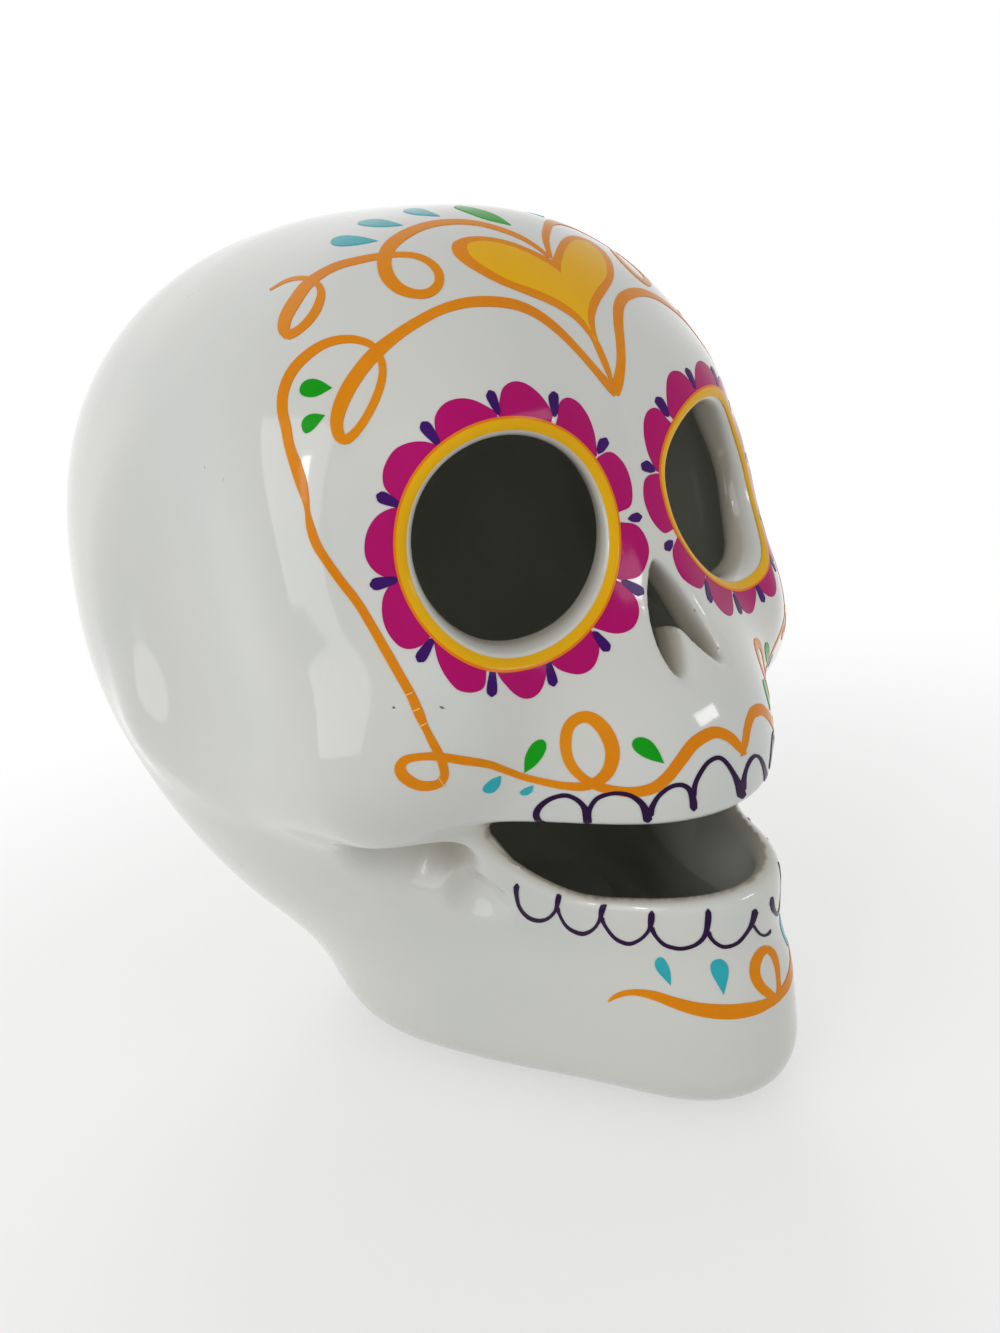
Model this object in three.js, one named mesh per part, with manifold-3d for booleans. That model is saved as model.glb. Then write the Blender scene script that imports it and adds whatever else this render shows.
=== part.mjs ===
// Sugar skull: a hollow glazed earthenware skull with open eyes, nose and mouth, and a small
// battery light that plugs into a hole in its base. Millimetres, +Z up, face towards -Y.
import * as THREE from 'three';
import { mergeVertices } from 'three/addons/utils/BufferGeometryUtils.js';
import Module from 'manifold-3d';

const wasm = await Module();
wasm.setup();

// Clearance between neighbouring pieces
const gap = 0.3;

// Ceramic wall, floor and foot
const wall = 6;
const floorThickness = 7;
const footRounding = 11;
const padThickness = 1;
const padDiameter = 7;
const frontPadY = -54;
const rearPadX = 15;
const rearPadY = 17.5;

// Lumps that melt together into the skin: centre, half sizes and the width of the blend
const cranium = { at: [0, 23.1, 89], half: [63.6, 62.8, 73.3] };
const brow = { at: [0, -28.4, 94.4], half: [50, 24.9, 51.5], blend: 40 };
const nape = { at: [0, 15.7, 50.6], half: [42.4, 32.5, 48.1], blend: 24 };
const headBack = { at: [0, 48, 113], half: [46.6, 35.5, 42.2], blend: 20 };
const cheek = { at: [32.4, -28.4, 77.7], half: [11.6, 26.5, 15.5], blend: 14 };
const upperJaw = { at: [0, -38.4, 63.5], half: [27.7, 34.4, 27], blend: 14 };
const noseBridge = { at: [0, -41.8, 85], half: [7.3, 12.6, 18.3], blend: 12 };
const browRidge = { at: [15.2, -42.9, 117.7], half: [13.7, 8.7, 7.5], blend: 12 };
const chin = { at: [0, -45.6], half: [20.4, 29.6], bottom: -12, top: 49.4, rounding: 26 };
const jawSide = { at: [6.1, -2.7], half: [31.3, 39], bottom: -16, top: 55, rounding: 26 };
const jawBlend = 22;
const jawToFaceBlend = 10;
const cheekArch = { from: [43, -36, 71], to: [54, 10, 76], fromRadius: 9, toRadius: 5, blend: 14 };

// Hollows pressed into the skin: centre, half sizes and the softness of the edge
const temple = { at: [66, -17, 98], half: [11, 22, 28], blend: 14 };
const cheekRecess = { at: [39, -36, 53], half: [8, 9.5, 5.5], blend: 8 };
const jawDimple = { at: [31.3, -38.8, 41.8], half: [4.5, 5, 4.5], blend: 5 };

// Openings of the face
const eyeDiameter = 29.4;
const eyeX = 23.3;
const eyeZ = 101.6;
const eyeTurn = 28.9;
const eyeTilt = -4.8;
const noseLobeX = 2.2;
const noseZ = 86;
const noseLobeHalfWidth = 2.8;
const noseLobeHalfHeight = 8.7;
const noseLobeTilt = 17;
const mouthFrontY = -72;
const mouthRoof = 56;
const mouthRoofRise = 4.4;
const mouthFloor = 41.4;
const mouthCornerY = -45.5;
const mouthCornerRadius = 12;
const mouthTopRadius = 3;

// The wall thins towards the lower lip, in front of the corners of the mouth
const lipDepth = 2.2;
const lipTaperZ = 30;

// Facets of the skin, finer at the face than at the back
const outerRows = 28;
const outerColumns = 60;
const innerRows = 16;
const innerColumns = 36;
const crownRows = 10;
const lipRows = 7;
const crownStartZ = 95;
const faceFineness = 0.42;

// Light unit: plug, cover and door
const unitY = -10;
const flangeLap = 2;
const fingerRoom = 2;
const boreDepth = 2.8;
const coverThickness = 1.8;
const housingDiameter = 40;
const housingWall = 1.6;
const headroom = 7;
const gripHeight = 3;
const gripGroove = 0.6;
const gripStand = 1.5;
const gripRise = 0.6;
const gripRibs = 3;
const doorThickness = 0.9;
const doorFrontLap = 1.2;
const doorSideShare = 0.43;
const doorEnd = 2.7;
const doorCorner = 4;
const doorPostRoom = 0.8;

// Cell, contacts, board and lamp
const cellDiameter = 20;
const cellThickness = 3.2;
const cellCapDiameter = 17.6;
const cellStep = 0.5;
const bayWall = 1.4;
const springHeight = 0.9;
const springDiameter = 8;
const leafThickness = 0.4;
const leafWidth = 5;
const boardRoom = 0.9;
const boardThickness = 1.2;
const lampDiameter = 5;
const lampHeight = 5.6;
const lampCollar = 0.8;
const lampCollarLip = 0.4;
const lensDiameter = 17;
const lensWall = 1.2;
const lensRise = 3.4;
const lensLip = 1.6;

// Slide switch
const switchRoom = 1;
const switchLength = 9;
const sliderTravel = 3;
const sliderHeadLength = 3.6;
const sliderHeadHeight = 1;
const sliderNeckLength = 2;
const sliderShare = 0.4;

// Screws
const coverPostRoom = 0.2;
const coverScrewLength = 11;
const doorScrewLength = 4.5;
const screwDiameter = 2.2;
const screwHeadDiameter = 4.4;
const screwHeadHeight = 0.8;
const postWall = 1.5;

// Sizes across that follow from the housing, the cell and the screws
const housingInner = housingDiameter / 2 - housingWall;
const holeDiameter = housingDiameter + 2 * gripStand;
const flangeDiameter = holeDiameter + 2 * flangeLap;
const boardDiameter = 2 * (housingInner - boardRoom);
const postDiameter = screwDiameter + 2 * gap + 2 * postWall;
const coverScrewX = housingInner - coverPostRoom - postDiameter / 2;
const doorScrewY = housingInner - doorPostRoom - postDiameter / 2;
const doorBackY = doorScrewY + doorEnd;
const doorFrontY = -cellDiameter / 2 - doorFrontLap;
const bayDiameter = cellDiameter + 2 * gap;
const screwHeadEdge = coverScrewX - screwHeadDiameter / 2;
const doorWidth = bayDiameter + 2 * doorSideShare * (screwHeadEdge - bayDiameter / 2);
const contactReach = bayDiameter / 2 + 2 * bayWall;
const switchInner = contactReach + gap;
const switchOuter = housingInner - switchRoom;
const switchY = -(switchInner + switchOuter) / 2;
const switchDepth = switchOuter - switchInner;
const sliderDepth = sliderShare * switchDepth;

// Heights of the stack, from the table up
const baseZ = padThickness;
const coverTop = baseZ + boreDepth - gap;
const coverBottom = coverTop - coverThickness;
const doorTop = coverBottom + doorThickness;
const cellBottom = doorTop + gap;
const springBottom = cellBottom + cellThickness + gap;
const springTop = springBottom + springHeight;
const boardBottom = springTop + gap;
const boardTop = boardBottom + boardThickness;
const housingBottom = coverTop + gap;
const housingTop = boardTop + headroom + housingWall;
const lensLipTop = housingTop - housingWall - gap;
const lensLipBottom = lensLipTop - lensWall;
const screwHeadRecess = screwHeadHeight + gap;

function degrees(angle) {
  return THREE.MathUtils.degToRad(angle);
}

// Soft union of two distances, with a blend of the given width
function melt(a, b, width) {
  const share = Math.max(width - Math.abs(a - b), 0) / width;
  return Math.min(a, b) - share * share * width / 4;
}

// Soft cut: the larger of two distances, with a rounded edge of the given width
function carve(a, b, width) {
  return -melt(-a, -b, width);
}

// Near-distance to an ellipsoid, or to an ellipse when only two half sizes are given
function lumpDistance(point, { at, half }) {
  let unit = 0;
  let slope = 0;
  half.forEach((size, axis) => {
    const part = (point[axis] - at[axis]) / size;
    unit += part * part;
    slope += (part / size) ** 2;
  });
  return Math.sqrt(unit) * (Math.sqrt(unit) - 1) / Math.sqrt(slope + 1e-12);
}

// Upright drum with an oval plan and rounded ends
function drumDistance(point, drum) {
  const middle = (drum.top + drum.bottom) / 2;
  const reach = (drum.top - drum.bottom) / 2;
  return carve(lumpDistance(point, drum), Math.abs(point[2] - middle) - reach, drum.rounding);
}

// Tapered bar with round ends
function barDistance(point, { from, to, fromRadius, toRadius }) {
  const start = new THREE.Vector3(...from);
  const along = new THREE.Vector3(...to).sub(start);
  const offset = new THREE.Vector3(...point).sub(start);
  const share = THREE.MathUtils.clamp(offset.dot(along) / along.lengthSq(), 0, 1);
  const radius = fromRadius + (toRadius - fromRadius) * share;
  return offset.addScaledVector(along, -share).length() - radius;
}

// Near-distance to the skull's closed outer skin, negative inside; left and right are alike
function skinDistance(x, y, z) {
  const point = [Math.abs(x), y, z];
  let distance = lumpDistance(point, cranium);
  for (const part of [brow, nape, headBack, cheek, upperJaw, noseBridge, browRidge]) {
    distance = melt(distance, lumpDistance(point, part), part.blend);
  }
  const jaw = melt(drumDistance(point, chin), drumDistance(point, jawSide), jawBlend);
  distance = melt(distance, jaw, jawToFaceBlend);
  distance = melt(distance, barDistance(point, cheekArch), cheekArch.blend);
  for (const hollow of [temple, cheekRecess, jawDimple]) {
    distance = carve(distance, -lumpDistance(point, hollow), hollow.blend);
  }
  return carve(distance, baseZ - z, footRounding);
}

// First point along a ray from inside where the skin is nearer than the given depth
function reachSkin(origin, direction, depth) {
  const stride = 1.5;
  const flatness = 1e-4;
  const point = new THREE.Vector3();
  const outside = (length) => {
    point.copy(direction).multiplyScalar(length).add(origin);
    return skinDistance(point.x, point.y, point.z) > flatness - depth;
  };
  let far = stride;
  while (!outside(far)) far += stride;
  let near = far - stride;
  for (let halving = 0; halving < 24; halving += 1) {
    const middle = (near + far) / 2;
    if (outside(middle)) far = middle;
    else near = middle;
  }
  return direction.clone().multiplyScalar(near).add(origin);
}

// Middle line that every section is cast from: it leans back from the jaw to the crown
function spineAt(z) {
  const share = z / crownStartZ;
  return new THREE.Vector3(0, unitY + share * (cranium.at[1] - unitY), z);
}

// Points where rays around a middle point reach a depth below the skin
function skinRing(origin, lift, depth, columns) {
  const ring = [];
  for (let column = 0; column < columns; column += 1) {
    const even = 2 * Math.PI * column / columns;
    const turn = even - faceFineness * Math.sin(even) - Math.PI / 2;
    const direction = new THREE.Vector3(Math.cos(turn) * Math.cos(lift), Math.sin(turn) * Math.cos(lift),
      Math.sin(lift));
    ring.push(reachSkin(origin, direction, depth));
  }
  return ring;
}

// Closed solid inside the skin at a depth: level sections up to the brow, then a fan to the crown
function skinSolid(depth, floorZ, rows, columns) {
  const rings = [];
  for (let row = 0; row < rows; row += 1) {
    const share = row / rows;
    const z = floorZ + (crownStartZ - floorZ) * (0.6 * share + 0.4 * share ** 2);
    rings.push(skinRing(spineAt(z), 0, depth, columns));
  }
  for (let row = 0; row < crownRows; row += 1) {
    rings.push(skinRing(spineAt(crownStartZ), Math.PI / 2 * row / crownRows, depth, columns));
  }
  const apex = reachSkin(spineAt(crownStartZ), new THREE.Vector3(0, 0, 1), depth);
  return asSolid(loft(rings, spineAt(floorZ), apex));
}

// Well behind the lower lip, where the wall tapers up to the lip
function lipWell() {
  const rings = [];
  for (let row = 0; row <= lipRows; row += 1) {
    const z = lipTaperZ + (mouthRoof - lipTaperZ) * row / lipRows;
    const share = Math.min((z - lipTaperZ) / (mouthFloor - lipTaperZ), 1);
    rings.push(skinRing(spineAt(z), 0, wall + (lipDepth - wall) * share, innerColumns));
  }
  const front = upperJaw.at[1] - 2 * upperJaw.half[1];
  const side = 2 * upperJaw.half[0];
  const ahead = asSolid(block([-side, front, 0], [side, mouthCornerY, mouthRoof]));
  return asSolid(loft(rings, spineAt(lipTaperZ), spineAt(mouthRoof))).intersect(ahead);
}

// Skin over a stack of rings, closed by fans to a point at the bottom and one at the top
function loft(rings, bottom, top) {
  const columns = rings[0].length;
  const points = [bottom, ...rings.flat(), top];
  const last = points.length - 1;
  const faces = [];
  const at = (row, column) => 1 + row * columns + column % columns;
  for (let column = 0; column < columns; column += 1) {
    faces.push(0, at(0, column + 1), at(0, column));
    for (let row = 0; row < rings.length - 1; row += 1) {
      faces.push(at(row, column), at(row, column + 1), at(row + 1, column + 1));
      faces.push(at(row, column), at(row + 1, column + 1), at(row + 1, column));
    }
    faces.push(last, at(rings.length - 1, column), at(rings.length - 1, column + 1));
  }
  const geometry = new THREE.BufferGeometry().setFromPoints(points);
  geometry.setIndex(faces);
  return geometry;
}

// Geometry to a solid that can be joined and cut
function asSolid(geometry) {
  geometry.deleteAttribute('normal');
  geometry.deleteAttribute('uv');
  const merged = mergeVertices(geometry, 1e-4);
  const corners = merged.index.array;
  const faces = [];
  for (let i = 0; i < corners.length; i += 3) {
    const [a, b, c] = [corners[i], corners[i + 1], corners[i + 2]];
    if (a !== b && b !== c && c !== a) faces.push(a, b, c);
  }
  const mesh = new wasm.Mesh({
    numProp: 3,
    vertProperties: new Float32Array(merged.attributes.position.array),
    triVerts: new Uint32Array(faces),
  });
  return new wasm.Manifold(mesh);
}

// Solid back to a geometry
function asGeometry(solid) {
  const mesh = solid.getMesh();
  const geometry = new THREE.BufferGeometry();
  geometry.setAttribute('position', new THREE.BufferAttribute(new Float32Array(mesh.vertProperties), 3));
  geometry.setIndex(new THREE.BufferAttribute(new Uint32Array(mesh.triVerts), 1));
  return geometry;
}

// Upright cylinder between two heights
function upright(diameter, bottom, top, x = 0, y = 0, sides = 32) {
  const geometry = new THREE.CylinderGeometry(diameter / 2, diameter / 2, top - bottom, sides);
  return geometry.rotateX(Math.PI / 2).translate(x, y, (bottom + top) / 2);
}

// Body of revolution about Z from a profile of radius and height, anticlockwise
function turned(profile, sides = 32, x = 0, y = 0) {
  const points = profile.map(([radius, height]) => new THREE.Vector2(radius, height));
  return new THREE.LatheGeometry(points, sides).rotateX(Math.PI / 2).translate(x, y, 0);
}

// Upright plate with a given outline between two heights
function plate(shape, bottom, top) {
  const settings = { depth: top - bottom, bevelEnabled: false, curveSegments: 8 };
  return new THREE.ExtrudeGeometry(shape, settings).translate(0, 0, bottom);
}

// Block between opposite corners
function block(from, to) {
  const size = to.map((value, axis) => value - from[axis]);
  const middle = to.map((value, axis) => (value + from[axis]) / 2);
  return new THREE.BoxGeometry(...size).translate(...middle);
}

// Rectangle with round corners
function roundedRectangle(left, front, right, back, radius) {
  const shape = new THREE.Shape();
  shape.absarc(right - radius, front + radius, radius, -Math.PI / 2, 0);
  shape.absarc(right - radius, back - radius, radius, 0, Math.PI / 2);
  shape.absarc(left + radius, back - radius, radius, Math.PI / 2, Math.PI);
  shape.absarc(left + radius, front + radius, radius, Math.PI, Math.PI * 1.5);
  return shape;
}

function piece(name, geometry, colour, roughness, metalness = 0) {
  const material = new THREE.MeshStandardMaterial({ color: colour, roughness, metalness });
  const mesh = new THREE.Mesh(geometry, material);
  mesh.name = name;
  return mesh;
}

// Cylinder along an eye's axis, through the wall
function eyeCutter(side) {
  const reach = 5 * wall;
  const geometry = new THREE.CylinderGeometry(eyeDiameter / 2, eyeDiameter / 2, reach, 36);
  const axis = new THREE.Vector3(Math.sin(degrees(eyeTurn)), -Math.cos(degrees(eyeTurn)), 0);
  axis.multiplyScalar(Math.cos(degrees(eyeTilt))).setZ(Math.sin(degrees(eyeTilt)));
  const rim = reachSkin(new THREE.Vector3(eyeX, brow.at[1], eyeZ), new THREE.Vector3(0, -1, 0), 0);
  rim.x *= side;
  axis.x *= side;
  geometry.applyQuaternion(new THREE.Quaternion().setFromUnitVectors(new THREE.Vector3(0, 1, 0), axis));
  return asSolid(geometry.translate(rim.x, rim.y, rim.z));
}

// One leaning oval of the nose, drawn in the front view and pushed through the face
function noseCutter(side) {
  const shape = new THREE.Shape();
  const lean = side * degrees(noseLobeTilt);
  shape.absellipse(side * noseLobeX, noseZ, noseLobeHalfWidth, noseLobeHalfHeight,
    0, 2 * Math.PI, false, lean);
  const depth = 2 * upperJaw.half[1];
  const geometry = new THREE.ExtrudeGeometry(shape, { depth, bevelEnabled: false, curveSegments: 14 });
  return asSolid(geometry.rotateX(Math.PI / 2).translate(0, upperJaw.at[1], 0));
}

// Side profile of the mouth: a roof that rises to the corner, a floor that curls up to it, open in front
function mouthCutter() {
  const front = upperJaw.at[1] - 2 * upperJaw.half[1];
  const roofAt = (y) => mouthRoof + mouthRoofRise * (y - mouthFrontY) / (mouthCornerY - mouthFrontY);
  const topY = mouthCornerY - mouthTopRadius;
  const shape = new THREE.Shape();
  shape.moveTo(front, roofAt(front));
  shape.lineTo(front, mouthFloor);
  shape.absarc(mouthCornerY - mouthCornerRadius, mouthFloor + mouthCornerRadius, mouthCornerRadius,
    -Math.PI / 2, 0);
  shape.absarc(topY, roofAt(topY) - mouthTopRadius, mouthTopRadius, 0, Math.PI / 2);
  const width = 4 * upperJaw.half[0];
  const geometry = new THREE.ExtrudeGeometry(shape, { depth: width, bevelEnabled: false, curveSegments: 10 });
  geometry.translate(0, 0, -width / 2);
  const turn = new THREE.Matrix4().makeBasis(new THREE.Vector3(0, 1, 0), new THREE.Vector3(0, 0, 1),
    new THREE.Vector3(1, 0, 0));
  return asSolid(geometry.applyMatrix4(turn));
}

function skullShell() {
  let shell = skinSolid(0, baseZ, outerRows, outerColumns);
  shell = shell.subtract(skinSolid(wall, baseZ + floorThickness, innerRows, innerColumns));
  for (const side of [-1, 1]) {
    shell = shell.subtract(eyeCutter(side)).subtract(noseCutter(side));
  }
  shell = shell.subtract(mouthCutter()).subtract(lipWell());
  const boreDiameter = flangeDiameter + 2 * fingerRoom;
  shell = shell.subtract(asSolid(upright(boreDiameter, 0, baseZ + boreDepth, 0, unitY, 48)));
  shell = shell.subtract(asSolid(upright(holeDiameter, 0, baseZ + 2 * floorThickness, 0, unitY, 48)));
  return piece('skull_shell', asGeometry(shell), 0xe4e3de, 0.12);
}

function footPad(number, x, y) {
  const edge = 0.3;
  const radius = padDiameter / 2;
  const profile = [[0, 0], [radius - edge, 0], [radius, edge], [radius, padThickness], [0, padThickness]];
  return piece(`foot_pad_${number}`, turned(profile, 20, x, y), 0xb9b9b4, 0.8);
}

// Flanged cover under the light: cell bay, screw posts, door recess and switch slot
function bottomCover() {
  const bayTop = boardBottom - gap;
  let cover = asSolid(upright(flangeDiameter, coverBottom, coverTop, 0, 0, 40));
  cover = cover.add(asSolid(upright(bayDiameter + 2 * bayWall, coverBottom, bayTop, 0, 0, 32)));
  cover = cover.add(asSolid(upright(postDiameter, coverBottom, bayTop, 0, doorScrewY, 20)));
  for (const side of [-1, 1]) {
    cover = cover.add(asSolid(upright(postDiameter, coverBottom, bayTop, side * coverScrewX, 0, 20)));
  }
  const recess = roundedRectangle(-doorWidth / 2 - gap, doorFrontY - gap, doorWidth / 2 + gap,
    doorBackY + gap, doorCorner + gap);
  cover = cover.subtract(asSolid(plate(recess, 0, doorTop + gap)));
  cover = cover.subtract(asSolid(upright(bayDiameter, 0, boardTop, 0, 0, 32)));
  cover = cover.subtract(asSolid(upright(screwDiameter + 2 * gap, 0, boardTop, 0, doorScrewY, 16)));
  for (const side of [-1, 1]) {
    const x = side * coverScrewX;
    const headTop = coverBottom + screwHeadRecess + gap;
    cover = cover.subtract(asSolid(upright(screwDiameter + 2 * gap, 0, boardTop, x, 0, 16)));
    cover = cover.subtract(asSolid(upright(screwHeadDiameter + 2 * gap, 0, headTop, x, 0, 20)));
  }
  const leafRoom = leafWidth / 2 + gap;
  const bayEdge = bayDiameter / 2;
  cover = cover.subtract(asSolid(block([-leafRoom, -bayEdge - 2 * bayWall, coverTop],
    [leafRoom, 0, boardTop])));
  const slotHalf = (sliderNeckLength + sliderTravel) / 2 + gap;
  const slotDepth = sliderDepth / 2 + gap;
  cover = cover.subtract(asSolid(block([-slotHalf, switchY - slotDepth, 0],
    [slotHalf, switchY + slotDepth, boardTop])));
  return piece('bottom_cover', asGeometry(cover), 0x26262a, 0.55);
}

// Cap of the light unit: a groove for the grip ring, a window for the lens and two screw bosses
function lightHousing() {
  const outer = housingDiameter / 2;
  const inner = housingInner;
  const window = lensDiameter / 2 + gap;
  const grooveBottom = housingBottom + gap;
  const grooveTop = grooveBottom + gripHeight + 2 * gap;
  const ceiling = housingTop - housingWall;
  const edge = housingWall / 2;
  const profile = [
    [inner, housingBottom], [outer, housingBottom], [outer, grooveBottom],
    [outer - gripGroove, grooveBottom], [outer - gripGroove, grooveTop], [outer, grooveTop],
    [outer, housingTop - edge], [outer - edge, housingTop], [window, housingTop], [window, ceiling],
    [inner, ceiling], [inner, housingBottom],
  ];
  let housing = asSolid(turned(profile, 40));
  for (const side of [-1, 1]) {
    const x = side * coverScrewX;
    housing = housing.add(asSolid(upright(postDiameter, boardTop + gap, housingTop - edge, x, 0, 20)));
  }
  for (const side of [-1, 1]) {
    const x = side * coverScrewX;
    const holeTop = coverBottom + screwHeadRecess + coverScrewLength + gap;
    housing = housing.subtract(asSolid(upright(screwDiameter + 2 * gap, boardTop, holeTop, x, 0, 16)));
  }
  return piece('light_housing', asGeometry(housing), 0x26262a, 0.5);
}

// Ribbed silicone band that holds the unit in the hole
function gripRing() {
  const inner = housingDiameter / 2 - gripGroove + gap;
  const tip = holeDiameter / 2 - gap;
  const root = tip - gripRise;
  const bottom = housingBottom + 2 * gap;
  const pitch = gripHeight / gripRibs;
  const profile = [[inner, bottom], [root, bottom]];
  for (let rib = 0; rib < gripRibs; rib += 1) {
    profile.push([tip, bottom + (rib + 0.5) * pitch], [root, bottom + (rib + 1) * pitch]);
  }
  profile.push([inner, bottom + gripHeight], [inner, bottom]);
  return piece('grip_ring', turned(profile, 40), 0xd8d8d2, 0.7);
}

// Frosted cap over the lamp, held under the housing's window
function lightLens() {
  const radius = lensDiameter / 2;
  const dome = (size, base, rise) => {
    const points = [];
    for (let step = 0; step <= 5; step += 1) {
      const turn = Math.PI / 2 * step / 5;
      points.push([size * Math.cos(turn), base + rise * Math.sin(turn)]);
    }
    return points;
  };
  const outside = dome(radius, housingTop, lensRise);
  const inside = dome(radius - lensWall, housingTop, lensRise - lensWall).reverse();
  outside[outside.length - 1][0] = 0;
  inside[0][0] = 0;
  const profile = [...inside, [radius - lensWall, lensLipBottom], [radius + lensLip, lensLipBottom],
    [radius + lensLip, lensLipTop], [radius, lensLipTop], ...outside];
  return piece('light_lens', turned(profile, 24), 0xf2efe6, 0.6);
}

function ledLamp() {
  const radius = lampDiameter / 2;
  const bottom = boardTop + gap;
  const profile = [[0, bottom], [radius + lampCollarLip, bottom], [radius + lampCollarLip, bottom + lampCollar],
    [radius, bottom + lampCollar]];
  for (let step = 0; step <= 5; step += 1) {
    const turn = Math.PI / 2 * step / 5;
    profile.push([step === 5 ? 0 : radius * Math.cos(turn),
      bottom + lampHeight - radius + radius * Math.sin(turn)]);
  }
  return piece('led_lamp', turned(profile, 20), 0xf3ead0, 0.2);
}

function circuitBoard() {
  const shape = new THREE.Shape();
  shape.absarc(0, 0, boardDiameter / 2, 0, 2 * Math.PI);
  for (const side of [-1, 1]) {
    const hole = new THREE.Path();
    hole.absarc(side * coverScrewX, 0, screwDiameter / 2 + gap, 0, 2 * Math.PI, true);
    shape.holes.push(hole);
  }
  return piece('circuit_board', plate(shape, boardBottom, boardTop), 0x1f5a34, 0.6);
}

function coinCell() {
  const can = cellDiameter / 2;
  const cap = cellCapDiameter / 2;
  const top = cellBottom + cellThickness;
  const profile = [[0, cellBottom], [can, cellBottom], [can, top - cellStep], [cap, top - cellStep],
    [cap, top], [0, top]];
  return piece('coin_cell', turned(profile, 36), 0xc9c9c6, 0.3, 1);
}

// Pressed button under the board that meets the top of the cell
function negativeContact() {
  const rim = springDiameter / 2;
  const nose = rim / 2;
  const profile = [[0, springBottom], [nose, springBottom], [rim, springTop - leafThickness],
    [rim, springTop], [0, springTop]];
  return piece('negative_contact', turned(profile, 24), 0xd2b56a, 0.35, 1);
}

// Bent leaf: one leg beside the cell's rim, one under the board
function positiveContact() {
  const near = -bayDiameter / 2;
  const far = -contactReach;
  const top = boardBottom - gap;
  const shape = new THREE.Shape();
  shape.moveTo(near, coverTop + gap);
  shape.lineTo(near, top);
  shape.lineTo(far, top);
  shape.lineTo(far, top - leafThickness);
  shape.lineTo(near - leafThickness, top - leafThickness);
  shape.lineTo(near - leafThickness, coverTop + gap);
  const geometry = new THREE.ExtrudeGeometry(shape, { depth: leafWidth, bevelEnabled: false });
  geometry.translate(0, 0, -leafWidth / 2);
  const turn = new THREE.Matrix4().makeBasis(new THREE.Vector3(0, 1, 0), new THREE.Vector3(0, 0, 1),
    new THREE.Vector3(1, 0, 0));
  return piece('positive_contact', geometry.applyMatrix4(turn), 0xd2b56a, 0.35, 1);
}

// Housing of the slide switch, with the channel that its slider runs in
function switchBody() {
  const half = switchLength / 2;
  const bottom = coverTop + gap;
  const body = block([-half, switchY - switchDepth / 2, bottom],
    [half, switchY + switchDepth / 2, boardBottom - gap]);
  const channelHalf = (sliderHeadLength + sliderTravel) / 2 + gap;
  const channelDepth = sliderDepth / 2 + gap;
  const channel = block([-channelHalf, switchY - channelDepth, 0],
    [channelHalf, switchY + channelDepth, bottom + sliderHeadHeight + 2 * gap]);
  return piece('switch_body', asGeometry(asSolid(body).subtract(asSolid(channel))), 0x3a3a3e, 0.5);
}

// T-shaped slider: its head runs in the channel and its neck reaches down through the cover
function switchSlider() {
  const rest = -sliderTravel / 2;
  const headBottom = coverTop + 2 * gap;
  const headTop = headBottom + sliderHeadHeight;
  const head = sliderHeadLength / 2;
  const neck = sliderNeckLength / 2;
  const shape = new THREE.Shape();
  shape.moveTo(rest - neck, coverBottom + gap);
  shape.lineTo(rest + neck, coverBottom + gap);
  shape.lineTo(rest + neck, headBottom);
  shape.lineTo(rest + head, headBottom);
  shape.lineTo(rest + head, headTop);
  shape.lineTo(rest - head, headTop);
  shape.lineTo(rest - head, headBottom);
  shape.lineTo(rest - neck, headBottom);
  const geometry = new THREE.ExtrudeGeometry(shape, { depth: sliderDepth, bevelEnabled: false });
  geometry.rotateX(Math.PI / 2).translate(0, switchY + sliderDepth / 2, 0);
  return piece('switch_slider', geometry, 0xe8e8e4, 0.5);
}

function batteryDoor() {
  const shape = roundedRectangle(-doorWidth / 2, doorFrontY, doorWidth / 2, doorBackY, doorCorner);
  const hole = new THREE.Path();
  hole.absarc(0, doorScrewY, screwDiameter / 2 + gap, 0, 2 * Math.PI, true);
  shape.holes.push(hole);
  return piece('battery_door', plate(shape, coverBottom, doorTop), 0x2c2c30, 0.55);
}

// Screw with its head down
function screw(name, x, y, headBottom, length) {
  const head = screwHeadDiameter / 2;
  const shank = screwDiameter / 2;
  const headTop = headBottom + screwHeadHeight;
  const tip = headTop + length;
  const profile = [[0, headBottom], [head * 0.8, headBottom], [head, headBottom + screwHeadHeight / 2],
    [head, headTop], [shank, headTop], [shank, tip - shank], [0, tip]];
  return piece(name, turned(profile, 20, x, y), 0xb4b4b2, 0.35, 1);
}

const lightUnit = new THREE.Group();
lightUnit.position.y = unitY;
lightUnit.add(bottomCover(), lightHousing(), gripRing(), lightLens(), ledLamp(), circuitBoard());
lightUnit.add(coinCell(), negativeContact(), positiveContact(), switchBody(), switchSlider(), batteryDoor());
lightUnit.add(screw('cover_screw_1', -coverScrewX, 0, coverBottom + gap, coverScrewLength));
lightUnit.add(screw('cover_screw_2', coverScrewX, 0, coverBottom + gap, coverScrewLength));
const doorScrewHead = coverBottom - gap - screwHeadHeight;
lightUnit.add(screw('door_screw', 0, doorScrewY, doorScrewHead, doorScrewLength));

const skull = new THREE.Group();
skull.add(skullShell(), footPad(1, 0, frontPadY));
skull.add(footPad(2, -rearPadX, rearPadY), footPad(3, rearPadX, rearPadY));
skull.add(lightUnit);

// The origin is under the middle of the skull, on the table
const box = new THREE.Box3().setFromObject(skull);
skull.position.set(0, -(box.min.y + box.max.y) / 2, 0);

export default skull;
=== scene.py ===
# Sugar skull of glazed earthenware with printed ornament and a plug-in light, on a pale floor
import math

import bpy
import numpy as np
from mathutils import Matrix, Vector
from mathutils.geometry import delaunay_2d_cdt


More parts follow.
